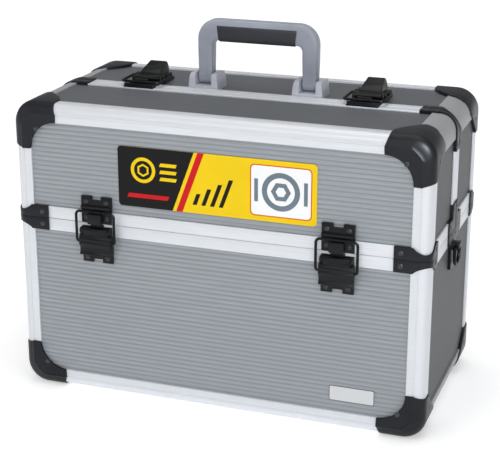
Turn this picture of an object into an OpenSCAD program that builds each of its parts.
// Aluminium-framed tool case that opens from the middle.
// X is the width, Y the depth with the front at -Y, Z is up. The case stands on z = 0.

/* [Case] */
// Width over the corner caps
case_w = 450; // [360:10:560]
// Depth over the corner caps
case_d = 225; // [220:1:260]
// Height over the corner caps, without the handle
case_h = 320; // [300:5:360]
// Height of the seam between the body and the lids
seam_z = 195; // [185:1:200]
// Gap between the body and the lids, and between the two lids
seam_gap = 0.5; // [0.4:0.1:1]
// Gap between the two lids along the middle
centre_gap = 1; // [0.8:0.1:1.4]

/* [Frame] */
// Rounding of the edges between a side and the top or the bottom
side_r = 24; // [20:1:26]
// Rounding of every other edge
nose_r = 12; // [10:0.5:13]
// Width of the rails on each face, over the rounding
rail_w = 20.5; // [18:0.5:24]
// Width of the rim rails
rim_w = 13; // [11:0.5:14]
// Width of the middle rails on the top and the sides
mid_w = 11; // [9:0.5:13]
// How far the rails lie below the caps
rail_in = 1.5; // [1:0.1:2]
// How far the panels lie below the caps
panel_in = 3.5; // [3:0.1:4]
// Thickness of the panels
panel_t = 4; // [3:0.5:5]
// Spacing of the ribs on the front and rear panels
rib_pitch = 5; // [4:0.5:8]

/* [Corner caps] */
// Length of a corner cap along each edge
cap_len = 50; // [44:1:54]
// Length of a rim cap from the corner on the front and the rear
rim_cap_w = 37.5; // [32:0.5:42]
// Length of a rim cap along the side
rim_cap_d = 30; // [26:1:34]
// Half width of the T caps on the sides
tee_half = 28; // [24:1:32]
// Length of the middle caps from the top side edges
mid_cap_len = 40; // [36:1:46]

/* [Latches] */
// Distance of the front and rear latches from the middle
latch_x = 131; // [110:1:150]
// Distance of the top latches from the middle
top_latch_x = 125; // [110:1:140]
// Half width of the latch plates
latch_half = 17; // [16:0.5:17.5]
// How far the latch lever swings
latch_open = 110; // [80:1:115]

/* [Handle] */
// Width over the handle
handle_w = 135; // [110:1:150]
// Height of the handle above the case
handle_rise = 72.5; // [60:0.5:80]
// Width of the handle's legs
leg_w = 17.5; // [14:0.5:20]

/* [Label] */
// Width of the label
label_w = 214; // [100:1:230]
// Height of the label
label_h = 64; // [40:1:66]
// Middle of the label across the case
label_x = 1; // [0:1:10]
// Middle of the label above the ground
label_z = 250; // [245:0.5:252]

/* [Trays] */
// Length of the trays
tray_l = 409; // [320:1:409]
// Length of an arm between its end pivots
arm_l = 94; // [88:1:96]
// Distance from an arm's foot to the lower tray's pivot
arm_low = 50; // [46:1:54]
// Lean of the arms when the case is closed
arm_lean = 40; // [36:1:40]

/* [Hidden] */
$fn = 48;
far = 600;             // larger than the case in every direction
sliver = 0.01;         // overlap of solids that are cut away
hw = case_w / 2;
hd = case_d / 2;
wall_in = panel_in + panel_t;
body_top = seam_z - seam_gap / 2;
lid_bottom = seam_z + seam_gap / 2;
lid_edge = centre_gap / 2;
web_t = 2;             // thickness of the rim rails' inner lip
underlap = 10;         // how far the rails run under the caps
crease = 0.5;          // groove along the rails
rivet_r = 3;
rivet_up = 0.4;

black = "#2c2d30";
silver = "#d6d8dc";
laminate = "#9aa0a4";
grey_plastic = "#9195a3";

/* ---- Envelopes ---- */

// A rectangle with round corners, centred in x and standing on y = 0 before its inset
module round_rect(w, h, inset, r) {
    rr = max(r - inset, 0.5);
    translate([-w / 2 + inset + rr, inset]) square([w - 2 * inset - 2 * rr, h - 2 * inset]);
    translate([-w / 2 + inset, inset + rr]) square([w - 2 * inset, h - 2 * inset - 2 * rr]);
    for (x = [-1, 1], y = [0, 1])
        translate([x * (w / 2 - inset - rr), y == 0 ? inset + rr : h - inset - rr])
            circle(r = rr, $fn = 64);
}

// The front view of the case, run along Y
module front_view(inset, half, r = side_r) {
    translate([0, half, 0]) rotate([90, 0, 0])
        linear_extrude(2 * half) round_rect(case_w, case_h, inset, r);
}

// The outer shape of the case, moved inwards by an inset
module envelope(inset) {
    intersection() {
        front_view(inset, far);
        rotate([90, 0, 90]) translate([0, 0, -far])
            linear_extrude(2 * far) round_rect(case_d, case_h, inset, nose_r);
        translate([0, 0, -far]) linear_extrude(3 * far)
            translate([0, -hd]) round_rect(case_w, case_d, inset, nose_r);
    }
}

module block(lo, hi) {
    translate(lo) cube(hi - lo);
}

// A block given by its half width in x and its ranges in y and z
module bar_x(half, y, z) {
    block([-half, y[0], z[0]], [half, y[1], z[1]]);
}

module both_x() {
    children();
    mirror([1, 0, 0]) children();
}

module both_y() {
    children();
    mirror([0, 1, 0]) children();
}

// Everything inside the frame: the room for the panels and for the load
module hollow() {
    front_view(wall_in, hd - wall_in);
    block([-hw + nose_r, -hd + panel_in, nose_r], [hw - nose_r, hd - panel_in, case_h - nose_r]);
    block([-hw + side_r, -hd + nose_r, panel_in], [hw - side_r, hd - nose_r, case_h - panel_in]);
    block([-hw + panel_in, -hd + nose_r, side_r], [hw - panel_in, hd - nose_r, case_h - side_r]);
}

// The aluminium skin that the rails are cut from, with a crease line on its broad faces
module frame() {
    difference() {
        envelope(rail_in);
        hollow();
        both_x() both_y() crease_line([hw - nose_r, -hd + rail_in, 0], [crease, crease, case_h]);
        both_x() both_y() crease_line([hw - rail_in - crease, -hd + nose_r, 0],
                                      [crease, crease, case_h]);
        both_y() for (z = [nose_r, case_h - nose_r])
            crease_line([-hw, -hd + rail_in, z], [case_w, crease, crease]);
        both_y() crease_line([-hw, -hd + nose_r, case_h - rail_in - crease],
                             [case_w, crease, 2 * crease]);
    }
}

module crease_line(at, size) {
    translate(at - [sliver, sliver, sliver]) cube(size);
}

/* ---- Panels ---- */

// An upright ribbed panel on the front, between two heights
module ribbed_panel(z0, z1) {
    half = hw - nose_r;
    count = floor((z1 - z0) / rib_pitch);
    difference() {
        bar_x(half, [-hd + panel_in, -hd + wall_in], [z0, z1]);
        for (i = [1 : count - 1])
            bar_x(half + 1, [-hd, -hd + panel_in + 0.5],
                  [z0 + i * rib_pitch - 0.6, z0 + i * rib_pitch + 0.6]);
    }
}

module body_panel() { ribbed_panel(nose_r, body_top - web_t); }
module lid_panel() { ribbed_panel(lid_bottom + web_t, case_h - nose_r); }

module body_front_panel() { color(laminate) body_panel(); }
module body_rear_panel() { color(laminate) mirror([0, 1, 0]) body_panel(); }
module front_lid_front_panel() { color(laminate) lid_panel(); }
module rear_lid_rear_panel() { color(laminate) mirror([0, 1, 0]) lid_panel(); }

module body_side_panels() {
    color(laminate) both_x()
        block([hw - wall_in, -hd + nose_r, side_r], [hw - panel_in, hd - nose_r, body_top - web_t]);
}

module body_bottom_panel() {
    color(laminate)
        bar_x(hw - side_r, [-hd + nose_r, hd - nose_r], [panel_in, wall_in]);
}

module lid_side_panels() {
    color(laminate) both_x()
        block([hw - wall_in, -hd + nose_r, lid_bottom + web_t],
              [hw - panel_in, -lid_edge - web_t, case_h - side_r]);
}

module lid_top_panel() {
    color(laminate)
        bar_x(hw - side_r, [-hd + nose_r, -lid_edge - web_t],
              [case_h - wall_in, case_h - panel_in]);
}

module front_lid_side_panels() { lid_side_panels(); }
module rear_lid_side_panels() { mirror([0, 1, 0]) lid_side_panels(); }
module front_lid_top_panel() { lid_top_panel(); }
module rear_lid_top_panel() { mirror([0, 1, 0]) lid_top_panel(); }

/* ---- Rails ---- */

cap_start = cap_len - underlap;
notch = 6.5;           // how deep the caps are cut where they cross a rail

// Room of the rails of the lower front half: bottom rail, uprights and bottom side profiles
module lower_rail_room() {
    bar_x(hw - cap_start, [-hd, -hd + rail_w], [0, rail_w]);
    both_x() {
        block([hw - rail_w, -hd, cap_start], [hw, -hd + rail_w, body_top - rim_w + notch]);
        block([hw - side_r - 3, -hd + cap_start, 0], [hw, sliver, side_r + 3]);
    }
}

// Room of the rails of the front lid
module upper_rail_room() {
    bar_x(hw - cap_start, [-hd, -hd + rail_w], [case_h - rail_w, case_h]);
    both_x() {
        block([hw - rail_w, -hd, lid_bottom + rim_w - notch],
              [hw, -hd + rail_w, case_h - cap_start]);
        block([hw - side_r - 3, -hd + cap_start, case_h - side_r - 3],
              [hw, -lid_edge - mid_w + notch, case_h]);
    }
}

module body_edge_rails() {
    color(silver) intersection() {
        frame();
        both_y() lower_rail_room();
    }
}

module lid_edge_rails() {
    color(silver) intersection() {
        frame();
        upper_rail_room();
    }
}

module front_lid_edge_rails() { lid_edge_rails(); }
module rear_lid_edge_rails() { mirror([0, 1, 0]) lid_edge_rails(); }

// A rim rail: a strip outside and a lip over the edge of the panel
module rim_section(strip, lip) {
    union() {
        translate([rail_in, strip[0]]) square([panel_in - rail_in, strip[1] - strip[0]]);
        translate([panel_in - sliver, lip[0]]) square([panel_t + sliver, lip[1] - lip[0]]);
    }
}

body_strip = [body_top - rim_w, body_top];
body_lip = [body_top - web_t, body_top];
lid_strip = [lid_bottom, lid_bottom + rim_w];
lid_lip = [lid_bottom, lid_bottom + web_t];

module front_rim(strip, lip) {
    half = hw - rim_cap_w;
    translate([-half, -hd, 0]) rotate([90, 0, 90])
        linear_extrude(2 * half) rim_section(strip, lip);
}

module side_rim(strip, lip) {
    len = hd - rim_cap_d - tee_half;
    both_x() translate([hw, -tee_half, 0]) mirror([1, 0, 0]) rotate([90, 0, 0])
        linear_extrude(len) rim_section(strip, lip);
}

module body_rim_rails() {
    color(silver) both_y() {
        front_rim(body_strip, body_lip);
        side_rim(body_strip, body_lip);
    }
}

// Rim rails of a lid, with the middle rails along the top and down the sides
module lid_rim_rails() {
    strip = [-lid_edge - mid_w, -lid_edge];
    color(silver) {
        front_rim(lid_strip, lid_lip);
        side_rim(lid_strip, lid_lip);
        half = hw - mid_cap_len;
        bar_x(half, strip, [case_h - panel_in, case_h - rail_in]);
        bar_x(half, [-lid_edge - web_t, -lid_edge], [case_h - wall_in, case_h - panel_in]);
        z0 = lid_bottom + tee_half;
        z1 = case_h - mid_cap_len;
        both_x() {
            block([hw - panel_in, strip[0], z0], [hw - rail_in, strip[1], z1]);
            block([hw - wall_in, -lid_edge - web_t, z0], [hw - panel_in, -lid_edge, z1]);
        }
    }
}

module front_lid_rim_rails() { lid_rim_rails(); }
module rear_lid_rim_rails() { mirror([0, 1, 0]) lid_rim_rails(); }

/* ---- Caps ---- */

notch_r = 20;          // radius of the notches in the ends of the caps
cap_arc = cap_len - rail_w;

// Corner cap of the lower right front corner
module corner_cap() {
    difference() {
        intersection() {
            envelope(0);
            block([hw - cap_len, -hd, 0], [hw, -hd + cap_len, cap_len]);
        }
        hollow();
        translate([hw - cap_len, -hd + nose_r, cap_len]) rotate([90, 0, 0])
            cylinder(r = cap_arc, h = far);
        translate([hw - nose_r, -hd + cap_len, cap_len]) rotate([0, 90, 0])
            cylinder(r = cap_arc, h = far);
        translate([hw - cap_len, -hd + cap_len, -far + nose_r])
            cylinder(r = cap_arc, h = far);
        translate([hw - 4, -hd + 4, cap_len + notch_r - notch]) sphere(r = notch_r);
        intersection() {
            envelope(rail_in);
            lower_rail_room();
        }
    }
}

module body_corner_caps() { color(black) both_x() both_y() corner_cap(); }

module upper_corner_caps() {
    color(black) both_x() translate([0, 0, case_h]) mirror([0, 0, 1]) corner_cap();
}

module front_lid_corner_caps() { upper_corner_caps(); }
module rear_lid_corner_caps() { mirror([0, 1, 0]) upper_corner_caps(); }

// Half of a rim cap at the right front corner, above or below the seam
module rim_cap(z0, z1, waist_z) {
    difference() {
        intersection() {
            envelope(0);
            block([hw - rim_cap_w, -hd, z0], [hw, -hd + rim_cap_d, z1]);
        }
        hollow();
        translate([hw - 4, -hd + 4, waist_z]) sphere(r = notch_r);
        children();
    }
}

// Half of a T cap on the right side
module tee_cap(z0, z1, y0, y1) {
    block([hw - panel_in, y0, z0], [hw, y1, z1]);
}

module body_rim_caps() {
    z0 = body_top - rim_w;
    color(black) both_x() {
        both_y() rim_cap(z0, body_top, z0 + notch - notch_r) intersection() {
            envelope(rail_in);
            lower_rail_room();
        }
        difference() {
            union() {
                tee_cap(z0, body_top, -tee_half, tee_half);
                block([hw - wall_in, -tee_half, body_top - web_t],
                      [hw - panel_in + sliver, tee_half, body_top]);
            }
            both_y() translate([hw - far / 2, -tee_half - 8, z0 - 8]) rotate([0, 90, 0])
                cylinder(r = 16, h = far);
        }
    }
}

// Rim caps, T caps and middle caps of a lid
module lid_seam_caps() {
    z1 = lid_bottom + rim_w;
    y1 = -lid_edge;
    color(black) both_x() {
        rim_cap(lid_bottom, z1, z1 - notch + notch_r) intersection() {
            envelope(rail_in);
            upper_rail_room();
        }
        difference() {
            union() {
                tee_cap(lid_bottom, z1, -tee_half, y1);
                tee_cap(lid_bottom, lid_bottom + tee_half, y1 - mid_w, y1);
                block([hw - wall_in, -tee_half, lid_bottom],
                      [hw - panel_in + sliver, y1, lid_bottom + web_t]);
                block([hw - wall_in, y1 - web_t, lid_bottom],
                      [hw - panel_in + sliver, y1, lid_bottom + tee_half]);
            }
            translate([hw - far / 2, -tee_half - 2, lid_bottom + tee_half + 2]) rotate([0, 90, 0])
                cylinder(r = 18, h = far);
        }
        difference() {
            intersection() {
                envelope(0);
                block([hw - mid_cap_len, y1 - mid_w, case_h - mid_cap_len], [hw, y1, case_h]);
            }
            front_view(wall_in, far);
            block([-hw, -hd, 0], [hw - side_r, y1 - web_t, case_h - panel_in]);
            block([-hw, -hd, 0], [hw - panel_in, y1 - web_t, case_h - side_r]);
            translate([hw - 8, y1 - mid_w + notch - notch_r, case_h - 8]) sphere(r = notch_r);
            intersection() {
                envelope(rail_in);
                upper_rail_room();
            }
        }
    }
}

module front_lid_seam_caps() { lid_seam_caps(); }
module rear_lid_seam_caps() { mirror([0, 1, 0]) lid_seam_caps(); }

/* ---- Rivets and screws ---- */

rivet_at = 30;         // distance of the cap rivets from the corner
rim_mid = rim_w / 2;

module rivet_front(x, z) {
    translate([x, -hd, z]) rotate([90, 0, 0]) cylinder(r = rivet_r, h = rivet_up);
}

module rivet_side(y, z) {
    translate([hw, y, z]) rotate([0, 90, 0]) cylinder(r = rivet_r, h = rivet_up);
}

module body_fasteners() {
    color(silver) {
        both_x() both_y() {
            rivet_front(hw - rivet_at + 2, rivet_at - 2);
            rivet_side(-hd + rivet_at - 6, rivet_at);
            rivet_front(hw - rim_cap_w + 7, body_top - rim_mid);
            rivet_side(-hd + rim_cap_d - 7, body_top - rim_mid);
            rivet_side(-7, body_top - rim_mid);
        }
        both_y() both_x() at_front_latch() base_screws();
    }
}

module lid_rivets() {
    both_x() {
        rivet_front(hw - rivet_at + 2, case_h - rivet_at + 2);
        rivet_side(-hd + rivet_at - 6, case_h - rivet_at);
        rivet_front(hw - rim_cap_w + 7, lid_bottom + rim_mid);
        rivet_side(-hd + rim_cap_d - 7, lid_bottom + rim_mid);
        rivet_side(-lid_edge - mid_w / 2, lid_bottom + tee_half - 6);
        rivet_side(-lid_edge - mid_w / 2, case_h - mid_cap_len + 6);
        translate([hw - mid_cap_len + 6, -lid_edge - mid_w / 2, case_h])
            cylinder(r = rivet_r, h = rivet_up);
    }
}

module front_lid_fasteners() {
    color(silver) {
        lid_rivets();
        both_x() at_front_latch() keeper_screws();
        both_x() at_top_latch() screw_pair(5);
    }
}

module rear_lid_fasteners() {
    color(silver) {
        mirror([0, 1, 0]) lid_rivets();
        mirror([0, 1, 0]) both_x() at_front_latch() keeper_screws();
        both_x() at_top_latch() translate([0, -top_back, 0]) base_screws();
    }
}

/* ---- Latches ----
   A latch is drawn about the seam: x runs along it, y points to the keeper and z outwards,
   with z = 0 on the rails. */

pivot = [-7, 5];       // lever pivot, as y and z
crank = [-19, 5.5];    // pivot of the bail in the lever
hook = [14, 5.5];      // the bail's bar, which is also the hinge line of the lid
wire_r = 1.75;
bail_half = 20.5;      // half width of the bail between the middles of its wires
lever_half = 18;
top_back = 8;          // how far the top latches sit back from the seam
pin_r = 1.5;
plate_t = 1.5;
plate_end = 43;        // how far the base plate reaches from the seam
keeper_end = 29.5;
fit = 0.05;            // running clearance of a pin in its hole
panel_drop = panel_in - rail_in;
screw_r = 3;

module at_front_latch() {
    translate([latch_x, -hd + rail_in, seam_z]) rotate([90, 0, 0]) children();
}

module at_top_latch() {
    translate([top_latch_x, 0, case_h - rail_in]) rotate([0, 0, 180]) children();
}

module along_x(half) {
    rotate([90, 0, 90]) translate([0, 0, -half]) linear_extrude(2 * half) children();
}

module rod_x(r, half, at) {
    translate([-half, at[0], at[1]]) rotate([0, 90, 0]) cylinder(r = r, h = 2 * half);
}

// A base plate with two ears and the lever's pin, on a rail of width strip
module latch_base(strip, back = 0) {
    end = plate_end + back;
    difference() {
        union() {
            bar_x(latch_half, [-end, -strip], [-panel_drop, plate_t]);
            bar_x(latch_half, [-strip - sliver, -3], [0, plate_t]);
            bar_x(7.5, [-3 - sliver, -seam_gap - 0.3], [0, plate_t]);
        }
        bar_x(5.5, [-end - 1, -end + 4], [-far, far]);
    }
    translate([0, -back, 0]) {
        both_x() translate([14.4, 0, 0]) rotate([90, 0, 90]) linear_extrude(latch_half - 14.4) {
            translate([pivot[0], pivot[1]]) circle(r = 3.5);
            translate([pivot[0] - 3.5, plate_t - sliver]) square([7, pivot[1] - plate_t]);
        }
        rod_x(pin_r, 14.5, pivot);
    }
}

module screw_pair(y) {
    both_x() translate([11.5, y, plate_t]) cylinder(r = screw_r, h = 1);
}

module base_screws() {
    screw_pair(-plate_end + 5.5);
}

// The keeper: a plate with two ears, a middle hook under the bail and a ridge behind it
module latch_keeper() {
    strip = rim_w + seam_gap / 2;
    difference() {
        union() {
            bar_x(latch_half, [seam_gap + 0.1, strip + sliver], [0, plate_t]);
            bar_x(latch_half, [strip, keeper_end], [-panel_drop, plate_t]);
        }
        bar_x(5.5, [keeper_end - 4, keeper_end + 1], [-far, far]);
    }
    bar_x(7.5, [1, hook[0] - wire_r - 0.25], [plate_t - sliver, 8]);
    bar_x(latch_half - 0.5, [16.5, 19.5], [plate_t - sliver, 4.5]);
}

// The short keeper of a top latch, on the middle rail only
module top_keeper() {
    bar_x(latch_half, [seam_gap + 0.1, mid_w + lid_edge], [0, plate_t]);
    bar_x(7.5, [1, hook[0] - top_back - wire_r - 0.25], [plate_t - sliver, 8]);
    bar_x(latch_half - 0.5, [8.7, mid_w], [plate_t - sliver, 4.5]);
}

module keeper_screws() {
    screw_pair(6.5);
    screw_pair(keeper_end - 6);
}

// The arched grip that stands up at the end of a top lever
module lever_grip() {
    along_x(12)
        polygon([[-12, 4], [-14, 8.5], [-19, 12], [-26, 15], [-33, 17.5], [-38, 18.5],
                 [-41, 17.5], [-42, 15], [-41, 11], [-37, 6], [-33, 2.5], [-30, 2.5]]);
}

module latch_lever() {
    color(black) difference() {
        union() {
            rod_x(3.2, 14, pivot);
            bar_x(14, [-12, pivot[0]], [2.2, 7]);
            bar_x(lever_half, [-34, -11.2], [2, 6]);
            bar_x(lever_half, [-22.5, -15.5], [2, 8.5]);
            bar_x(lever_half, [-34, -31], [2, 7.5]);
            children();
        }
        rod_x(pin_r + fit, 20, pivot);
        both_x() translate([15, crank[0], crank[1]]) rotate([0, 90, 0])
            cylinder(r = wire_r + fit, h = 5);
    }
}

module latch_bail() {
    color(black) {
        rod_x(wire_r, bail_half, hook);
        both_x() {
            translate([bail_half, crank[0], crank[1]]) rotate([-90, 0, 0])
                cylinder(r = wire_r, h = hook[0] - crank[0]);
            translate([bail_half, hook[0], hook[1]]) sphere(r = wire_r, $fn = 32);
            translate([bail_half, crank[0], crank[1]]) sphere(r = wire_r, $fn = 32);
            translate([15.3, crank[0], crank[1]]) rotate([0, 90, 0])
                cylinder(r = wire_r, h = bail_half - 15.3);
        }
    }
}

module body_latch_bases() {
    color(black) both_y() both_x() at_front_latch() latch_base(rim_w + seam_gap / 2);
}

module rear_lid_latch_bases() {
    color(black) both_x() at_top_latch() latch_base(mid_w + lid_edge, top_back);
}

module front_lid_keepers() {
    color(black) both_x() {
        at_front_latch() latch_keeper();
        at_top_latch() top_keeper();
    }
}

module rear_lid_keepers() {
    color(black) mirror([0, 1, 0]) both_x() at_front_latch() latch_keeper();
}

/* ---- Handle ---- */

bracket_half = 18.5;   // half width of a handle bracket
bracket_y = [mid_w + 1, mid_w + 29];
handle_pivot = [mid_w + 15, case_h + 9];
leg_r = 7.5;           // half depth of the legs
leg_x = handle_w / 2 - leg_w / 2;
handle_top = case_h + handle_rise;
top_bar = 23;          // height of the handle's top bar
bend_r = 22;
inner_bend = 6;
pivot_pin_r = 2.5;

module handle_bracket() {
    translate([leg_x, 0, 0]) difference() {
        union() {
            bar_x(bracket_half, bracket_y, [case_h - panel_in, case_h + 0.8]);
            along_x(bracket_half) {
                translate([bracket_y[0], case_h]) square([bracket_y[1] - bracket_y[0], 9]);
                translate([bracket_y[0] + 5, case_h])
                    square([bracket_y[1] - bracket_y[0] - 10, 14]);
                for (y = [bracket_y[0] + 5, bracket_y[1] - 5])
                    translate([y, case_h + 9]) circle(r = 5);
            }
        }
        bar_x(leg_w / 2 + 0.5, [0, far], [case_h + 0.8, far]);
    }
    translate([leg_x, 0, 0]) rod_x(pivot_pin_r, leg_w / 2 + 1, handle_pivot);
}

module handle_brackets() { color(grey_plastic) both_x() handle_bracket(); }

// Front view of the handle, with every edge moved outwards by grow
module handle_outline(grow) {
    bend = [handle_w / 2 - bend_r, handle_top - bend_r];
    low = handle_pivot[1];
    inner = handle_w / 2 - leg_w - grow;
    under = handle_top - top_bar - grow;
    difference() {
        union() {
            translate([-bend[0] - bend_r - grow, low])
                square([handle_w + 2 * grow, bend[1] - low]);
            translate([-bend[0], low]) square([2 * bend[0], handle_top + grow - low]);
            for (s = [-1, 1]) translate([s * bend[0], bend[1]])
                circle(r = bend_r + grow, $fn = 96);
        }
        translate([-inner, low - 1]) square([2 * inner, under - inner_bend - low + 1]);
        translate([-inner + inner_bend, low - 1])
            square([2 * (inner - inner_bend), under - low + 1]);
        for (s = [-1, 1]) translate([s * (inner - inner_bend), under - inner_bend])
            circle(r = inner_bend);
    }
}

module handle_shape(grow, half) {
    translate([0, handle_pivot[0] + half, 0]) rotate([90, 0, 0])
        linear_extrude(2 * half) handle_outline(grow);
}

grip_half = 42.5;
grip_z = [handle_top - top_bar - 1, handle_top - 8.5];

module handle_frame() {
    color(grey_plastic) difference() {
        union() {
            handle_shape(0, leg_r - 2);
            handle_shape(-1.2, leg_r);
            both_x() translate([leg_x, 0, 0]) rod_x(leg_r, leg_w / 2 - 1.2, handle_pivot);
        }
        both_x() translate([leg_x, 0, 0]) rod_x(pivot_pin_r + fit, leg_w, handle_pivot);
        block([-grip_half, -far, grip_z[0] - 2], [grip_half, far, grip_z[1]]);
    }
}

module handle_grip() {
    color("#46484c") along_x(grip_half) {
        half = leg_r + 1.5;
        r = 5;
        mid = handle_pivot[0];
        translate([mid - half + r, grip_z[0]]) square([2 * (half - r), grip_z[1] - grip_z[0]]);
        translate([mid - half, grip_z[0] + r])
            square([2 * half, grip_z[1] - grip_z[0] - 2 * r]);
        for (s = [-1, 1], z = [grip_z[0] + r, grip_z[1] - r])
            translate([mid + s * (half - r), z]) circle(r = r);
    }
}

/* ---- Strap rings ---- */

ring_axis = [hw + 3.5, 176]; // x and z of the bar that a ring turns on
ring_r = 12;
ring_wire = 1.8;
ring_leg = 8;

module ring_plate() {
    difference() {
        union() {
            block([hw - panel_in, -11, 152], [hw - 0.5, 11, body_top - rim_w]);
            translate([ring_axis[0], 7, ring_axis[1]]) rotate([90, 0, 0])
                cylinder(r = 3.3, h = 14);
            block([hw - 1, -7, ring_axis[1] - 3.3], [ring_axis[0], 7, ring_axis[1] + 3.3]);
        }
        translate([ring_axis[0], far, ring_axis[1]]) rotate([90, 0, 0])
            cylinder(r = ring_wire + fit, h = 2 * far);
    }
}

module strap_ring() {
    color("#3a3b3e") translate([ring_axis[0], 0, ring_axis[1]]) {
        translate([0, ring_r, 0]) rotate([90, 0, 0]) cylinder(r = ring_wire, h = 2 * ring_r);
        for (s = [-1, 1]) translate([0, s * ring_r, 0]) {
            sphere(r = ring_wire, $fn = 32);
            translate([0, 0, -ring_leg]) cylinder(r = ring_wire, h = ring_leg);
        }
        translate([0, 0, -ring_leg]) rotate([0, -90, 0]) rotate([0, 0, 90])
            rotate_extrude(angle = 180) translate([ring_r, 0]) circle(r = ring_wire);
    }
}

module strap_ring_plates() { color(black) both_x() ring_plate(); }
module strap_ring_right() { strap_ring(); }
module strap_ring_left() { mirror([1, 0, 0]) strap_ring(); }

/* ---- Label and badge ---- */

badge_x = [124, 172];
badge_z = [32, 49];
sheet_t = 0.4;

module sheet_on_front(x, z) {
    block([x[0], -hd + panel_in - sheet_t, z[0]], [x[1], -hd + panel_in, z[1]]);
}

module label() {
    color("#f5d400")
        sheet_on_front([label_x - label_w / 2, label_x + label_w / 2],
                       [label_z - label_h / 2, label_z + label_h / 2]);
}

module badge_plate() { color("#c9cbcd") sheet_on_front(badge_x, badge_z); }

module floor_mat() {
    color("#3b3d40") bar_x(hw - side_r - 4, [-hd + nose_r + 1, hd - nose_r - 1],
                           [wall_in, wall_in + 2]);
}

/* ---- Trays on parallel arms ---- */

arm_foot = [-69, 180]; // y and z of the inner arms' foot pivots, on the front side
arm_gap = 17;          // distance between the feet of the inner and the outer arms
arm_half = 5;
arm_x = [205.5, 208.5];
tray_y = [-84, -4];
low_tray_z = [213.5, 244];
high_tray_z = [247, 290];
tray_wall = 2;
arm_pin_r = 2.5;
arm_dir = [sin(arm_lean), cos(arm_lean)];
low_pin = arm_foot + arm_low * arm_dir;
high_pin = arm_foot + arm_l * arm_dir;

// An arm on the right, with its foot moved outwards by shift
module arm(shift) {
    translate([arm_x[0], arm_foot[0] - shift, arm_foot[1]]) rotate([-arm_lean, 0, 0])
        rotate([90, 0, 90]) linear_extrude(arm_x[1] - arm_x[0]) difference() {
            union() {
                translate([-arm_half, 0]) square([2 * arm_half, arm_l]);
                circle(r = arm_half);
                translate([0, arm_l]) circle(r = arm_half);
            }
            for (at = [0, arm_low, arm_l]) translate([0, at]) circle(r = arm_pin_r + fit);
        }
}

module arm_pair(shift) { color(silver) both_x() arm(shift); }

module front_arms_inner() { arm_pair(0); }
module front_arms_outer() { arm_pair(arm_gap); }
module rear_arms_inner() { mirror([0, 1, 0]) arm_pair(0); }
module rear_arms_outer() { mirror([0, 1, 0]) arm_pair(arm_gap); }

module arm_brackets() {
    color(silver) both_x() both_y() {
        block([arm_x[1] + 1, arm_foot[0] - arm_gap - 9, arm_foot[1] - 9],
              [hw - wall_in, arm_foot[0] + 9, arm_foot[1] + 9]);
        for (shift = [0, arm_gap])
            translate([arm_x[0] - 0.5, arm_foot[0] - shift, arm_foot[1]]) rotate([0, 90, 0])
                cylinder(r = arm_pin_r, h = arm_x[1] - arm_x[0] + 2);
    }
}

// An open tray with cross walls and two pins in each end
module tray(z, pin) {
    half = tray_l / 2;
    color("#55585c") difference() {
        bar_x(half, tray_y, z);
        for (i = [-1 : 1])
            block([i * half * 2 / 3 - half / 3 + tray_wall, tray_y[0] + tray_wall, z[0] + tray_wall],
                  [i * half * 2 / 3 + half / 3 - tray_wall, tray_y[1] - tray_wall, z[1] + 1]);
    }
    color(silver) both_x() for (shift = [0, arm_gap])
        translate([half - sliver, pin[0] - shift, pin[1]]) rotate([0, 90, 0])
            cylinder(r = arm_pin_r, h = arm_x[1] - half + 0.5);
}

module front_tray_lower() { tray(low_tray_z, low_pin); }
module front_tray_upper() { tray(high_tray_z, high_pin); }
module rear_tray_lower() { mirror([0, 1, 0]) tray(low_tray_z, low_pin); }
module rear_tray_upper() { mirror([0, 1, 0]) tray(high_tray_z, high_pin); }

/* ---- Levers and bails by place ---- */

module front_right_lever() { at_front_latch() latch_lever(); }
module front_right_bail() { at_front_latch() latch_bail(); }
module front_left_lever() { mirror([1, 0, 0]) front_right_lever(); }
module front_left_bail() { mirror([1, 0, 0]) front_right_bail(); }
module rear_right_lever() { mirror([0, 1, 0]) front_right_lever(); }
module rear_right_bail() { mirror([0, 1, 0]) front_right_bail(); }
module rear_left_lever() { mirror([0, 1, 0]) front_left_lever(); }
module rear_left_bail() { mirror([0, 1, 0]) front_left_bail(); }
module top_right_lever() {
    at_top_latch() translate([0, -top_back, 0]) latch_lever() lever_grip();
}

module top_right_bail() { at_top_latch() translate([0, -top_back, 0]) latch_bail(); }
module top_left_lever() { mirror([1, 0, 0]) top_right_lever(); }
module top_left_bail() { mirror([1, 0, 0]) top_right_bail(); }

body_front_panel();
body_rear_panel();
body_side_panels();
body_bottom_panel();
body_edge_rails();
body_rim_rails();
body_corner_caps();
body_rim_caps();
body_fasteners();
body_latch_bases();
strap_ring_plates();
badge_plate();
arm_brackets();
floor_mat();
front_lid_front_panel();
front_lid_top_panel();
front_lid_side_panels();
front_lid_edge_rails();
front_lid_rim_rails();
front_lid_corner_caps();
front_lid_seam_caps();
front_lid_keepers();
front_lid_fasteners();
label();
rear_lid_rear_panel();
rear_lid_top_panel();
rear_lid_side_panels();
rear_lid_edge_rails();
rear_lid_rim_rails();
rear_lid_corner_caps();
rear_lid_seam_caps();
rear_lid_keepers();
rear_lid_latch_bases();
handle_brackets();
rear_lid_fasteners();
handle_frame();
handle_grip();
strap_ring_right();
strap_ring_left();
front_left_lever();
front_left_bail();
front_right_lever();
front_right_bail();
rear_left_lever();
rear_left_bail();
rear_right_lever();
rear_right_bail();
top_left_lever();
top_left_bail();
top_right_lever();
top_right_bail();
front_arms_inner();
front_arms_outer();
front_tray_lower();
front_tray_upper();
rear_arms_inner();
rear_arms_outer();
rear_tray_lower();
rear_tray_upper();
